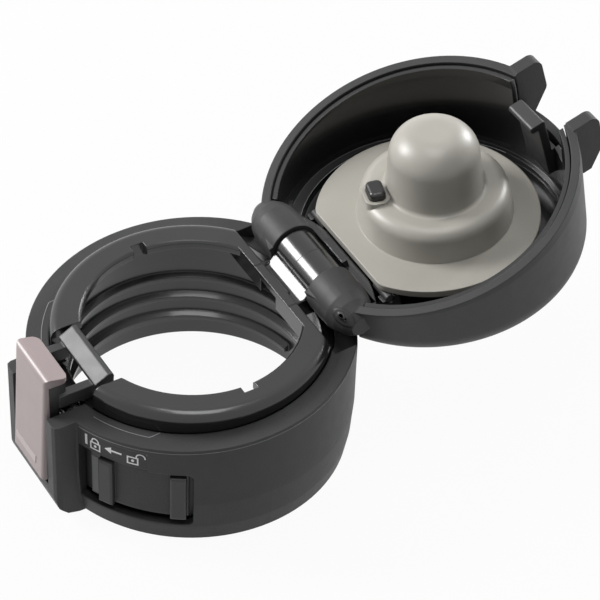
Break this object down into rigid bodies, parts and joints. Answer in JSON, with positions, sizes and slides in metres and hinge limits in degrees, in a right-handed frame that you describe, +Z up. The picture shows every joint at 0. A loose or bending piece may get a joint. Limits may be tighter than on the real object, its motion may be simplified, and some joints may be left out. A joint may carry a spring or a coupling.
{
  "type": "vacuum flask lid",
  "caption": "One-touch flask lid: a threaded collar with a sprung hinged lid, a tilting silicone plug, a push-button latch and a lock slider, shown thrown open.",
  "frame": {"origin": "centre of the collar's foot, on the neck thread's axis, in the plane that the collar rests on", "axes": "+Z up along the neck thread, +Y towards the hinge, +X along the hinge axis"},
  "size_m": [0.066, 0.1252, 0.0567],
  "materials": {
    "charcoal_matte": "fine textured charcoal polypropylene",
    "black_gloss": "glossy black polypropylene",
    "button_taupe": "satin taupe plastic",
    "plug_grey": "warm light grey silicone",
    "vent_black": "black silicone",
    "core_plastic": "moulded dark plastic",
    "pin_steel": "stainless steel"
  },
  "bodies": {
    "base": {"collar_shell": "charcoal_matte", "threaded_ring": "black_gloss", "hinge_pin": "pin_steel", "hinge_spring": "pin_steel", "latch_pin": "pin_steel", "latch_spring": "pin_steel"},
    "lid": {"lid_shell": "charcoal_matte", "lid_liner": "black_gloss", "latch_hook": "black_gloss", "plug_clip": "black_gloss"},
    "plug": {"plug_seal": "plug_grey", "plug_core": "core_plastic", "vent_plug": "vent_black"},
    "latch": {"latch_lever": "black_gloss", "button_cover": "button_taupe"},
    "lock": {"lock_slider": "charcoal_matte"}
  },
  "joints": [
    {"name": "lid_hinge", "type": "hinge", "parent": "base", "child": "lid", "pos_m": [0, 0.0272, 0.0318], "axis": [1, 0, 0], "range_deg": [0, 162.8]},
    {"name": "plug_tilt", "type": "hinge", "parent": "lid", "child": "plug", "pos_m": [0, 0.03667, 0.03096], "axis": [1, 0, 0], "range_deg": [0, 12.5]},
    {"name": "latch_press", "type": "hinge", "parent": "base", "child": "latch", "pos_m": [0, -0.0312, 0.0056], "axis": [-1, 0, 0], "range_deg": [0, 4], "stiffness_Nm_per_rad": 0.6, "springref_deg": -11.46, "deforming": ["latch_spring"]},
    {"name": "lock_slide", "type": "hinge", "parent": "base", "child": "lock", "pos_m": [0, 0, 0.013], "axis": [0, 0, -1], "range_deg": [0, 3.8]}
  ]
}
